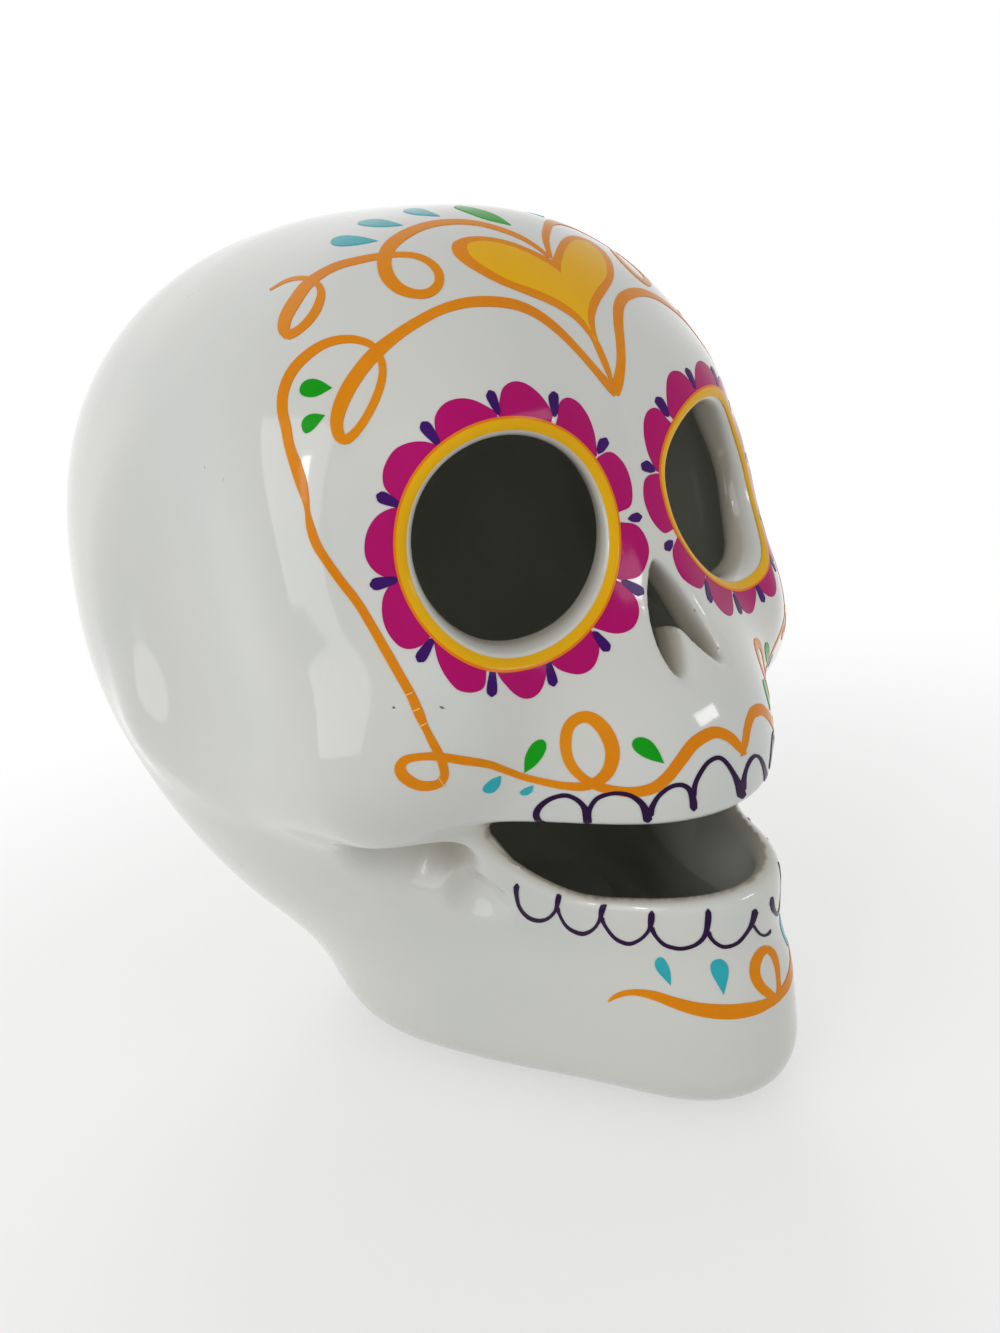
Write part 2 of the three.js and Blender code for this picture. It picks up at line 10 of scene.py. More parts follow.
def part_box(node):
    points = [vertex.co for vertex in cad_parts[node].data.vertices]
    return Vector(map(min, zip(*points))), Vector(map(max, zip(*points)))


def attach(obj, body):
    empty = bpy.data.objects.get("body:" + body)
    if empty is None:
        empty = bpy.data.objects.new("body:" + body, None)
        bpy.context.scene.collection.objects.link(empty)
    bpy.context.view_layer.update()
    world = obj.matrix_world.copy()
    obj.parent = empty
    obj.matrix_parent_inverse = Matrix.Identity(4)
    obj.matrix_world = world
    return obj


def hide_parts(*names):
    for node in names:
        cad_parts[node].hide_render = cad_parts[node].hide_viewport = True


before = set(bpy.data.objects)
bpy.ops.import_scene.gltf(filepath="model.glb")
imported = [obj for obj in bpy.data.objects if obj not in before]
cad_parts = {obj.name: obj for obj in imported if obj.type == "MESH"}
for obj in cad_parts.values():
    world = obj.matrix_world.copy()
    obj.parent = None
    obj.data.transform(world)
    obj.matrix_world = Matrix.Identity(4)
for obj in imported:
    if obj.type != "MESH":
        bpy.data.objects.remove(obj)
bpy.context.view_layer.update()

mm = 0.001  # all drawing is in millimetres, Blender is in metres

# Camera of the photograph
photo = dict(
    width=1000, height=1333,  # pixels that every drawn point refers to
    focal=922.01,  # pixels
    turn=-36.56, pitch=14.82, roll=-8.84,  # degrees
    place=(-105.42, -157.03, 118.76),
    sensor=36.0, clip=(0.01, 20),
)

# Outer form: centre, half sizes and blend of each lump that melts into the skin
skull = dict(
    wall=6.0, floor=7.0, foot=1.0, footRounding=11.0, floorRounding=5.0,
    frontPad=-54.0,
    cranium=((0, 23.1, 89), (63.6, 62.8, 73.3)),
    lumps=[
        ((0, -28.4, 94.4), (50, 24.9, 51.5), 40),  # brow
        ((0, 15.7, 50.6), (42.4, 32.5, 48.1), 24),  # nape
        ((0, 48, 113), (46.6, 35.5, 42.2), 20),  # back of the head
        ((32.4, -28.4, 77.7), (11.6, 26.5, 15.5), 14),  # cheek
        ((0, -38.4, 63.5), (27.7, 34.4, 27), 14),  # upper jaw
        ((0, -41.8, 85), (7.3, 12.6, 18.3), 12),  # nose bridge
        ((15.2, -42.9, 117.7), (13.7, 8.7, 7.5), 12),  # brow ridge
    ],
    chin=((0, -45.6), (20.4, 29.6), -12, 49.4, 13),
    jawSide=((6.1, -2.7), (31.3, 39), -16, 55, 26),
    drumRounding=26, jawBlend=22, faceBlend=10,
    tuckDepth=1.6, tuckHeight=33.0, tuckReach=7.0,  # shallow fold under the lower lip
    archStart=(43, -36, 71), archEnd=(54, 10, 76), archRadii=(9, 5), archBlend=14,
    hollows=[
        ((66, -17, 98), (11, 22, 28), 14),  # temple
        ((37, -32.5, 51.6), (8.6, 8.6, 7.2), 7),  # under the cheek
        ((31, -38.6, 41.4), (5.2, 5.6, 5), 2.6),  # jaw dimple
    ],
    step=0.8, quickStep=1.6,  # grid of the skin's mesh, and its reach along x, y and z
    gridX=68, gridLow=(-78, -2), gridHigh=(92, 166),
)

# Openings, and how softly the glaze rounds their lips
holes = dict(
    eyeX=23.3, eyeZ=101.6, eyeRadius=14.7, eyeTurn=28.9, eyeTilt=-4.8, eyeReach=15.0, eyeLip=2.6,
    browY=-28.4,
    noseX=2.0, noseZ=86.0, noseHalf=(2.6, 8.7), noseLean=19.0, noseBack=-38.4, noseLip=1.8,
    mouthRoof=55.6, mouthRise=4.6, mouthFront=-72.0, mouthFloor=43.4, mouthCorner=-45.5, mouthRadius=12.0,
    mouthTop=6.0, mouthLip=2.2,
    lipDepth=2.2, lipTaper=30.0, lipTop=10.0, lipBack=18.0,  # the thinner wall behind the mouth's lips
    unitY=-10.0, boreRadius=25.5, boreTop=3.8, holeRadius=21.5, boreLip=1.0,
)


def melt(a, b, width):
    share = np.maximum(width - np.abs(a - b), 0) / width
    return np.minimum(a, b) - share * share * width / 4


def carve(a, b, width):
    return -melt(-a, -b, width)


def lump(parts, centre, half):  # near-distance to an ellipsoid, or an ellipse
    scaled = [(part - c) / h for part, c, h in zip(parts, centre, half)]
    unit = np.sqrt(sum(s * s for s in scaled))
    slope = np.sqrt(sum((s / h) ** 2 for s, h in zip(scaled, half)) + 1e-12)
    return unit * (unit - 1) / slope


def drum(parts, centre, half, low, top, topRounding):
    side = carve(lump(parts[:2], centre, half), low - parts[2], skull["drumRounding"])
    return carve(side, parts[2] - top, topRounding)


def bar(parts, start, end, radii):
    along = np.subtract(end, start)
    offset = [part - s for part, s in zip(parts, start)]
    share = np.clip(sum(o * a for o, a in zip(offset, along)) / (along @ along), 0, 1)
    gap = np.sqrt(sum((o - share * a) ** 2 for o, a in zip(offset, along)))
    return gap - radii[0] - (radii[1] - radii[0]) * share


def folded(points):  # x, y and z with both sides laid on one
    return [np.abs(points[..., 0]), points[..., 1], points[..., 2]]


def skinField(points):  # closed outer form, negative inside
    parts = folded(points)
    field = lump(parts, *skull["cranium"])
    for centre, half, blend in skull["lumps"]:
        field = melt(field, lump(parts, centre, half), blend)
    tuck = skull["tuckDepth"] * np.exp(-((parts[2] - skull["tuckHeight"]) / skull["tuckReach"]) ** 2)
    jaw = melt(drum(parts, *skull["chin"]) + tuck, drum(parts, *skull["jawSide"]), skull["jawBlend"])
    field = melt(field, jaw, skull["faceBlend"])
    arch = bar(parts, skull["archStart"], skull["archEnd"], skull["archRadii"])
    field = melt(field, arch, skull["archBlend"])
    for centre, half, blend in skull["hollows"]:
        field = carve(field, -lump(parts, centre, half), blend)
    return carve(field, skull["foot"] - parts[2], skull["footRounding"])


def unitVector(vector):
    return np.asarray(vector, float) / np.linalg.norm(vector)


# How points are carried onto the skin, in mm
rays = dict(
    reach=120.0, halvings=40,  # from inside
    start=70.0, rounds=70, share=0.8, least=-8.0, most=20.0, miss=0.2,  # from the camera
    slides=30,  # along the eye's axis
)


def skinFrom(origin, direction):  # where a line from inside leaves the skin
    near, far = 0.0, rays["reach"]
    for _ in range(rays["halvings"]):
        middle = (near + far) / 2
        if skinField(np.asarray(origin) + middle * np.asarray(direction)) < 0:
            near = middle
        else:
            far = middle
    return np.asarray(origin) + near * np.asarray(direction)


def eyeAxis():
    turn, tilt = math.radians(holes["eyeTurn"]), math.radians(holes["eyeTilt"])
    return np.array([math.sin(turn) * math.cos(tilt), -math.cos(turn) * math.cos(tilt), math.sin(tilt)])


eyeOut = eyeAxis()
eyeRim = skinFrom((holes["eyeX"], holes["browY"], holes["eyeZ"]), (0, -1, 0))


def eyeField(parts):
    offset = [part - r for part, r in zip(parts, eyeRim)]
    height = sum(o * a for o, a in zip(offset, eyeOut))
    radius = np.sqrt(sum((o - height * a) ** 2 for o, a in zip(offset, eyeOut)))
    return np.maximum(radius - holes["eyeRadius"], np.abs(height) - holes["eyeReach"])


def noseField(parts):
    lean = math.radians(holes["noseLean"])
    across, up = parts[0] - holes["noseX"], parts[2] - holes["noseZ"]
    turned = (across * math.cos(lean) + up * math.sin(lean), up * math.cos(lean) - across * math.sin(lean))
    return np.maximum(lump(turned, (0, 0), holes["noseHalf"]), parts[1] - holes["noseBack"])


def mouthField(parts):
    radius = holes["mouthRadius"]
    back = parts[1] - (holes["mouthCorner"] - radius)
    low = holes["mouthFloor"] + radius - parts[2]
    corner = np.hypot(np.maximum(back, 0), np.maximum(low, 0)) + np.minimum(np.maximum(back, low), 0) - radius
    rise = holes["mouthRise"] / (holes["mouthCorner"] - holes["mouthFront"])
    roof = holes["mouthRoof"] + rise * (parts[1] - holes["mouthFront"])
    return carve(corner, parts[2] - roof, holes["mouthTop"])


def wallDepth(parts):  # the wall thins towards the lips of the mouth
    below = np.clip((parts[2] - holes["lipTaper"]) / (holes["mouthFloor"] - holes["lipTaper"]), 0, 1)
    above = np.clip((holes["mouthRoof"] + holes["lipTop"] - parts[2]) / holes["lipTop"], 0, 1)
    ahead = np.clip((holes["mouthCorner"] + holes["lipBack"] - parts[1]) / holes["lipBack"], 0, 1)
    return skull["wall"] + (holes["lipDepth"] - skull["wall"]) * below * above * ahead


def hollowField(parts, skin):
    low = skull["foot"] + skull["floor"]
    return carve(skin + wallDepth(parts), low - parts[2], skull["floorRounding"])


def glazeField(points):  # the hollow skull with its openings
    skin, parts = skinField(points), folded(points)
    field = np.maximum(skin, -hollowField(parts, skin))
    field = carve(field, -eyeField(parts), holes["eyeLip"])
    field = carve(field, -noseField(parts), holes["noseLip"])
    field = carve(field, -mouthField(parts), holes["mouthLip"])
    radius = np.hypot(parts[0], parts[1] - holes["unitY"])
    bore = np.minimum(np.maximum(radius - holes["boreRadius"], parts[2] - holes["boreTop"]),
                      np.maximum(radius - holes["holeRadius"], parts[2] - 2 * skull["floor"]))
    return carve(field, -bore, holes["boreLip"])


def slopeOf(field, points, reach=0.04):  # gradient from four points of a tetrahedron
    corners = np.array([(1, -1, -1), (-1, -1, 1), (-1, 1, -1), (1, 1, 1)], float)
    return sum(corner * field(points + reach * corner)[..., None] for corner in corners) / (4 * reach)


def settle(points, field, rounds=4, limit=0.8):  # move points onto a surface, and give its normals
    for _ in range(rounds):
        slope = slopeOf(field, points)
        size = np.linalg.norm(slope, axis=-1, keepdims=True) + 1e-9
        points = points - np.clip(field(points)[..., None] / size, -limit, limit) * slope / size
    slope = slopeOf(field, points)
    return points, slope / (np.linalg.norm(slope, axis=-1, keepdims=True) + 1e-9)


padLow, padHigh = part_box("foot_pad_1")
setBack = (padLow[1] + padHigh[1]) / 2 / mm - skull["frontPad"]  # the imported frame's origin is set back


def toFrame(points):
    return (np.asarray(points, float) + (0, setBack, 0)) * mm


def cameraAxes():
    turn, pitch, roll = (math.radians(photo[key]) for key in ("turn", "pitch", "roll"))
    ahead = np.array([math.sin(-turn) * math.cos(pitch), math.cos(turn) * math.cos(pitch), -math.sin(pitch)])
    right = np.array([math.cos(turn), math.sin(turn), 0.0])
    up = np.cross(right, ahead)
    return right * math.cos(roll) + up * math.sin(roll), up * math.cos(roll) - right * math.sin(roll), ahead


cameraRight, cameraUp, cameraAhead = cameraAxes()
cameraPlace = np.array(photo["place"])


def castPixels(pixels):  # points of the photograph onto the glaze, with normals
    pixels = np.asarray(pixels, float)
    across = (pixels[:, :1] - photo["width"] / 2) / photo["focal"]
    down = (pixels[:, 1:2] - photo["height"] / 2) / photo["focal"]
    ray = cameraAhead + across * cameraRight - down * cameraUp
    ray /= np.linalg.norm(ray, axis=1, keepdims=True)
    length = np.full((len(pixels), 1), rays["start"])
    for _ in range(rays["rounds"]):
        gap = np.clip(skinField(cameraPlace + ray * length), rays["least"], rays["most"])
        length += gap[:, None] * rays["share"]
    points = cameraPlace + ray * length
    missed = np.abs(skinField(points)) > rays["miss"]
    if missed.any():
        print("  %d drawn points miss the skin, first at %s" % (missed.sum(), pixels[missed][0].round(1)))
    return settle(points, glazeField)


def toPixels(points):
    offset = np.asarray(points) - cameraPlace
    depth = offset @ cameraAhead
    return np.stack([photo["width"] / 2 + photo["focal"] * (offset @ cameraRight) / depth,
                     photo["height"] / 2 - photo["focal"] * (offset @ cameraUp) / depth], -1)


def placeCamera():
    data = bpy.data.cameras.new("photoCamera")
    data.sensor_width = photo["sensor"]
    data.lens = photo["sensor"] * photo["focal"] / photo["height"]
    data.clip_start, data.clip_end = photo["clip"]
    camera = bpy.data.objects.new("photoCamera", data)
    turned = Matrix([cameraRight, cameraUp, -cameraAhead]).transposed().to_4x4()
    camera.matrix_world = Matrix.Translation(Vector(toFrame(cameraPlace))) @ turned
    bpy.context.scene.collection.objects.link(camera)
    bpy.context.scene.camera = camera


placeCamera()
print("camera placed")


# Materials: maths on sockets is written as expressions, every other node comes from add()
class Wire:
    def __init__(self, tree, socket):
        self.tree = tree
        self.socket = socket

    def add(self, kind, settings=None, sockets=None, output=0):
        node = self.tree.nodes.new(kind)
        for key, value in (settings or {}).items():
            setattr(node, key, value)
        for key, value in (sockets or {}).items():
            if isinstance(value, Wire):
                self.tree.links.new(value.socket, node.inputs[key])
            else:
                node.inputs[key].default_value = value
        return Wire(self.tree, node.outputs[output]) if node.outputs else None

    def maths(self, operation, first, second):
        return self.add("ShaderNodeMath", {"operation": operation}, {0: first, 1: second})

    def __add__(self, other):
        return self.maths("ADD", self, other)

    def __radd__(self, other):
        return self.maths("ADD", other, self)

    def __sub__(self, other):
        return self.maths("SUBTRACT", self, other)

    def __rsub__(self, other):
        return self.maths("SUBTRACT", other, self)

    def __mul__(self, other):
        return self.maths("MULTIPLY", self, other)

    def __rmul__(self, other):
        return self.maths("MULTIPLY", other, self)

    def step(self, low, high):  # 0 below low, 1 above high
        return self.add("ShaderNodeMapRange", {"interpolation_type": "SMOOTHSTEP"},
                        {"Value": self, "From Min": low, "From Max": high})

    def mix(self, first, second):  # colours by this value
        return self.add("ShaderNodeMix", {"data_type": "RGBA"}, {0: self, 6: first, 7: second}, output=2)


def paint(red, green, blue):  # a display colour of 0 to 255 as a linear one
    def linear(value):
        value /= 255
        return value / 12.92 if value <= 0.04045 else ((value + 0.055) / 1.055) ** 2.4
    return (linear(red), linear(green), linear(blue), 1.0)


def startFinish(name):  # a new material, and the wire of its object coordinates
    finish = bpy.data.materials.new(name)
    finish.use_nodes = True
    finish.node_tree.nodes.clear()
    root = Wire(finish.node_tree, None)
    return finish, root.add("ShaderNodeTexCoord", output="Object")


def noise(here, scale, detail=2.0, roughness=0.5):
    return here.add("ShaderNodeTexNoise", {}, {"Vector": here, "Scale": scale, "Detail": detail,
                                               "Roughness": roughness})


def endFinish(here, sockets, bump, bumpDepth=0.00001):
    relief = here.add("ShaderNodeBump", {}, {"Height": bump, "Distance": bumpDepth, "Strength": 1.0})
    surface = here.add("ShaderNodeBsdfPrincipled", {}, {**sockets, "Normal": relief})
    here.add("ShaderNodeOutputMaterial", {}, {"Surface": surface})


# White glaze: faint mottling, pinholes, thinner glaze and painted shade on the lips, painted shade under the
# cheek, a greyer wash inside
glaze = dict(
    # the third colour below is thinner glaze and painted shade on the walls of the openings
    white=paint(207, 207, 201), cool=paint(201, 204, 200), thinGlazeAndShade=paint(184, 177, 160),
    # the first colour below is painted shade for the hollow under the cheek
    stainAndShade=paint(150, 146, 132), inside=paint(188, 190, 178), wash=paint(192, 191, 181),
    speck=paint(140, 120, 90), lipShare=0.8, speckShare=0.55,
    roughness=0.07, insideRoughness=0.16, ior=1.52, coat=0.35, coatRoughness=0.03,
    recess=(31, -31, 50.5), recessReach=(6, 7, 5.5), dull=0.45,  # painted shade in the hollow under the cheek, with duller glaze there
    mottle=26.0, ripple=42.0, peel=420.0, specks=190.0, rareSpecks=70.3, streaks=60.0,
    peelShare=0.04, bumpDepth=0.00012, pinDepth=0.1, roughMottle=0.05,
    insideFrom=0.7, insideOver=0.28, lipFrom=0.12, lipOver=0.4,  # shares of the way through the wall
    bareFoot=4.0,  # neither thinner glaze nor painted shade below this height
)


def glazeHeight(here):  # slow ripple and orange peel, alike on the glaze and the prints
    return noise(here, glaze["ripple"], 1.0) + glaze["peelShare"] * noise(here, glaze["peel"], 1.0)


def glazeFinish():
    finish, here = startFinish("glaze")
    clouds = noise(here, glaze["mottle"], 3.0)
    colour = clouds.step(0.35, 0.7).mix(glaze["white"], glaze["cool"])
    lip, recess, inside = (here.add("ShaderNodeAttribute", {"attribute_name": name}, output="Fac")
                           for name in ("lip", "recess", "inside"))
    # thinner glaze and painted shade on the walls of the openings
    colour = (lip * glaze["lipShare"]).mix(colour, glaze["thinGlazeAndShade"])
    # painted shade: darkens the hollow under the cheek with a brownish grey
    colour = recess.mix(colour, glaze["stainAndShade"])
    cells = here.add("ShaderNodeTexVoronoi", {}, {"Vector": here, "Scale": glaze["specks"]},
                     output="Distance")
    rare = noise(here, glaze["rareSpecks"], 0.0).step(0.66, 0.7)
    dots = (1 - cells.step(0.03, 0.07)) * rare
    colour = (dots * glaze["speckShare"]).mix(colour, glaze["speck"])
    streaks = noise(here, glaze["streaks"], 4.0, 0.6)
    colour = inside.mix(colour, streaks.step(0.3, 0.75).mix(glaze["inside"], glaze["wash"]))
    rough = glaze["roughness"] + glaze["roughMottle"] * clouds + glaze["dull"] * recess
    rough = rough + (glaze["insideRoughness"] - glaze["roughness"]) * inside
    endFinish(here, {"Base Color": colour, "Roughness": rough, "IOR": glaze["ior"],
                     "Coat Weight": glaze["coat"] * (1 - recess), "Coat Roughness": glaze["coatRoughness"]},
              glazeHeight(here) - glaze["pinDepth"] * dots, glaze["bumpDepth"])
    return finish


# Wear of the plain pieces
wear = dict(
    clouds=70.0, share=0.35, grain=0.1,  # plastic and rubber
    tarnish=120.0, tarnishShare=0.5, lines=300.0, lineGrain=0.15,  # metal
)


def mouldedFinish(name, body, worn, roughness, texture, depth):  # moulded plastic or rubber
    finish, here = startFinish(name)
    grain = noise(here, texture)
    colour = (noise(here, wear["clouds"], 3.0).step(0.4, 0.8) * wear["share"]).mix(body, worn)
    endFinish(here, {"Base Color": colour, "Roughness": roughness + wear["grain"] * grain}, grain, depth)
    return finish


def metalFinish(name, body, stainAndShade, roughness, stretch):  # plated or rolled metal with fine lines
    finish, here = startFinish(name)
    lines = here.add("ShaderNodeMapping", {}, {"Vector": here, "Scale": stretch})
    grain = noise(lines, wear["lines"], 3.0)
    colour = (noise(here, wear["tarnish"], 3.0).step(0.45, 0.8) * wear["tarnishShare"]).mix(body, stainAndShade)
    rough = roughness + wear["lineGrain"] * grain
    endFinish(here, {"Base Color": colour, "Metallic": 1.0, "Roughness": rough}, grain)
    return finish


def meshFrom(name, points, faces, finish):
    mesh = bpy.data.meshes.new(name)
    mesh.from_pydata(toFrame(points).tolist(), [], faces)
    mesh.materials.append(finish)
    mesh.polygons.foreach_set("use_smooth", np.ones(len(mesh.polygons), bool))
    piece = bpy.data.objects.new(name, mesh)
    bpy.context.scene.collection.objects.link(piece)
    return piece


def netMesh(field, step, reachX, low, high):  # surface net over a grid that is the same left and right
    xs = (np.arange(int(reachX / step)) + 0.5) * step
    ys, zs = np.arange(low[0], high[0], step), np.arange(low[1], high[1], step)
    half = np.empty((len(xs), len(ys), len(zs)))
    for row, x in enumerate(xs):
        half[row] = field(np.stack(np.broadcast_arrays(x, ys[:, None], zs[None, :]), -1))
    values = np.concatenate([half[::-1], half])
    inside = values < 0
    shape = tuple(size - 1 for size in values.shape)
    corners = [(a, b, c) for a in (0, 1) for b in (0, 1) for c in (0, 1)]
    total = sum(inside[a:a + shape[0], b:b + shape[1], c:c + shape[2]].astype(np.int8) for a, b, c in corners)
    cells = np.argwhere((total > 0) & (total < 8))
    index = np.full(shape, -1)
    index[tuple(cells.T)] = np.arange(len(cells))
    sums, counts = np.zeros((len(cells), 3)), np.zeros(len(cells))
    for start in corners:
        for axis in range(3):
            if start[axis]:
                continue
            end = np.array(start)
            end[axis] = 1
            first, second = values[tuple((cells + start).T)], values[tuple((cells + end).T)]
            crossed = (first < 0) != (second < 0)
            share = first[crossed] / (first[crossed] - second[crossed])
            sums[crossed] += np.array(start) + share[:, None] * (end - np.array(start))
            counts[crossed] += 1
    points = np.array([-xs[-1], ys[0], zs[0]]) + (cells + sums / counts[:, None]) * step
    quads = []
    for axis in range(3):
        one, two = (axis + 1) % 3, (axis + 2) % 3
        ahead = np.zeros(3, int)
        ahead[axis] = 1
        nodes = np.argwhere(np.diff(inside.astype(np.int8), axis=axis) != 0)
        nodes = nodes[(nodes[:, one] > 0) & (nodes[:, two] > 0) & (nodes[:, one] < shape[one])
                      & (nodes[:, two] < shape[two])]
        sideOne, sideTwo = np.zeros(3, int), np.zeros(3, int)
        sideOne[one], sideTwo[two] = 1, 1
        around = [nodes, nodes - sideOne, nodes - sideOne - sideTwo, nodes - sideTwo]
        quad = np.stack([index[tuple(place.T)] for place in around], -1)
        outward = inside[tuple(nodes.T)]
        quad[~outward] = quad[~outward][:, ::-1]
        quads.append(quad)
    return points, np.concatenate(quads)


def makeSkull():
    step = skull["step"]
    points, quads = netMesh(glazeField, step, skull["gridX"], skull["gridLow"], skull["gridHigh"])
    points, normals = settle(points, glazeField, 3, step / 2)
    piece = meshFrom("glazed_skull", points, quads.tolist(), glazeFinish())
    skin, parts = skinField(points), folded(points)
    hollow = hollowField(parts, skin)
    through = np.abs(skin) / (np.abs(skin) + np.abs(hollow) + 1e-9)  # 0 on the outer skin, 1 on the inner
    inside = np.clip((through - glaze["insideFrom"]) / glaze["insideOver"], 0, 1)
    # walls of the openings: thinner glaze and painted shade
    lip = np.clip((through - glaze["lipFrom"]) / glaze["lipOver"], 0, 1)
    lip *= points[:, 2] > skull["foot"] + glaze["bareFoot"]
    offset = [(part - c) / r for part, c, r in zip(parts, glaze["recess"], glaze["recessReach"])]
    recess = np.exp(-sum(o * o for o in offset))  # painted shade under the cheek
    for name, values in (("inside", inside), ("lip", lip), ("recess", recess)):
        piece.data.attributes.new(name, "FLOAT", "POINT").data.foreach_set("value", values.astype(np.float32))
    piece.data.normals_split_custom_set_from_vertices(normals.tolist())
    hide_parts("skull_shell")
    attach(piece, "skull")
    print("skull: %d points" % len(points))


makeSkull()


# Enlarged views of the photograph that the ornament's points were read in: corner and scale
views = dict(
    forehead=(250, 190, 3.6465), nearEye=(350, 350, 4.238), temple=(260, 360, 4.0),
    lip=(380, 690, 4.0), jaw=(490, 840, 5.0),
)
film = dict(
    sink=0.16, height=0.1,  # mm below and above the glaze
    strokeStep=3.0, fillStep=6.0, edgeStep=3.0,  # pixels
    clouds=55.0, cloudShare=0.6, grain=900.0, grainShare=0.15,
    roughness=0.08, roughGrain=0.06, gloss=0.09,
)


def printFinish(name, body, edge):  # enamel print, less glossy than the glaze
    finish, here = startFinish(name)
    clouds = noise(here, film["clouds"], 3.0)
    grain = noise(here, film["grain"], 2.0)
    share = clouds.step(0.3, 0.75) * film["cloudShare"] + grain.step(0.45, 0.7) * film["grainShare"]
    rough = film["roughness"] + film["roughGrain"] * grain
    endFinish(here, {"Base Color": share.mix(body, edge), "Roughness": rough, "IOR": glaze["ior"],
                     "Specular IOR Level": film["gloss"]}, glazeHeight(here), glaze["bumpDepth"])
    return finish


def fromView(view, points):
    left, top, zoom = views[view]
    return [(left + p[0] / zoom, top + p[1] / zoom, *(w / zoom for w in p[2:])) for p in points]


def smoothPath(points, step):  # a curve through all points, sampled evenly
    points = np.asarray(points, float)
    ends = np.concatenate([[2 * points[0] - points[1]], points, [2 * points[-1] - points[-2]]])
    samples = []
    for a, b, c, d in zip(ends, ends[1:], ends[2:], ends[3:]):
        count = max(int(np.linalg.norm((c - b)[:2]) / step * 4), 4)
        t = np.arange(count)[:, None] / count
        samples.append(b + 0.5 * t * (c - a + t * (2 * a - 5 * b + 4 * c - d + t * (3 * (b - c) + d - a))))
    samples.append(points[-1:])
    samples = np.concatenate(samples)
    length = np.concatenate([[0], np.cumsum(np.linalg.norm(np.diff(samples[:, :2], axis=0), axis=1))])
    even = np.linspace(0, length[-1], max(int(length[-1] / step), 3) + 1)
    return np.stack([np.interp(even, length, column) for column in samples.T], -1), even


class Films:  # thin closed skins of one colour that lie on the glaze, near side and mirrored
    def __init__(self, name, finish):
        self.name, self.finish = name, finish
        self.points, self.faces, self.normals, self.count = [], [], [], 0

    def sheet(self, points, normals, faces, height):
        faces = [list(face) for face in faces]
        used = {edge: True for face in faces for edge in zip(face, face[1:] + face[:1])}
        rim = [(a, b) for a, b in used if (b, a) not in used]
        size = len(points)
        base = self.count
        self.points += [points + normals * height, points - normals * film["sink"]]
        for face in faces:
            self.faces.append([base + i for i in face])
            self.normals += [tuple(normals[i]) for i in face]
            self.faces.append([base + size + i for i in reversed(face)])
            self.normals += [tuple(-normals[i]) for i in reversed(face)]
        for a, b in rim:
            side = np.cross(points[b] - points[a], normals[a])
            side = tuple(side / (np.linalg.norm(side) + 1e-9))
            self.faces.append([base + b, base + a, base + size + a, base + size + b])
            self.normals += [side] * 4
        self.count += 2 * size

    def both(self, points, normals, faces, height, mirrored=True, moved=None):
        self.sheet(points, normals, faces, height)
        if mirrored:
            flip = np.array([-1, 1, 1])
            points, normals = points * flip, normals * flip
            if moved:
                points, normals = moved(points)
            self.sheet(points, normals, [list(face)[::-1] for face in faces], height)

    def stroke(self, legs, height=film["height"], mirrored=True, roundEnds=False, moved=None):
        path = [point for view, points in legs for point in fromView(view, points)]
        line, length = smoothPath(path, film["strokeStep"])
        half = line[:, 2] / 2
        if roundEnds:
            for end in (length, length[-1] - length):
                share = np.clip(end / (half + 1e-6), 0.02, 1)
                half = half * np.sqrt(1 - (1 - share) ** 2)
        tangent = np.gradient(line[:, :2], axis=0)
        tangent /= np.linalg.norm(tangent, axis=1, keepdims=True) + 1e-9
        across = np.stack([tangent[:, 1], -tangent[:, 0]], -1)
        offsets = (-1, -0.5, 0, 0.5, 1)
        rows = [line[:, :2] + across * (half * offset)[:, None] for offset in offsets]
        pixels = np.stack(rows, 1).reshape(-1, 2)
        points, normals = castPixels(pixels)
        wide = len(offsets)
        faces = []
        for i in range(len(line) - 1):
            for j in range(wide - 1):
                a = i * wide + j
                faces.append((a, a + 1, a + wide + 1, a + wide))
        self.both(points, normals, self.outward(points, normals, faces), height, mirrored, moved)

    def outward(self, points, normals, faces):  # turns faces so that they look away from the glaze
        votes = 0
        for face in faces:
            a, b, c = (points[i] for i in face[:3])
            up = np.cross(b - a, c - a) @ normals[face[0]]
            if len(face) == 4:
                up += np.cross(c - a, points[face[3]] - a) @ normals[face[0]]
            votes += up >= 0
        order = -1 if votes * 2 < len(faces) else 1
        return [list(face)[::order] for face in faces]

    def fill(self, edge, height=film["height"], mirrored=True, moved=None):  # closed line in pixels
        edge = np.asarray(edge)[:, :2]
        rows = (np.arange(a, b, film["fillStep"]) for a, b in zip(edge.min(0), edge.max(0)))
        grid = np.stack(np.meshgrid(*rows), -1).reshape(-1, 2)
        grid = grid[insideEdge(grid, edge)]
        spots = [Vector(p) for p in np.concatenate([edge, grid])]
        ring = list(range(len(edge)))
        flat, _, faces, _, _, _ = delaunay_2d_cdt(spots, [], [ring], 1, 1e-4)
        points, normals = castPixels(np.array([tuple(p) for p in flat]))
        self.both(points, normals, self.outward(points, normals, faces), height, mirrored, moved)

    def shape(self, view, points, mirrored=True):  # first point is the sharp tip
        path = fromView(view, [*points, points[0]])
        self.fill(smoothPath(path, film["edgeStep"])[0][:-1], mirrored=mirrored)

    def place(self):
        piece = meshFrom(self.name, np.concatenate(self.points), self.faces, self.finish)
        piece.data.normals_split_custom_set(self.normals)
        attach(piece, "skull")
        print("  %s: %d points" % (self.name, self.count))


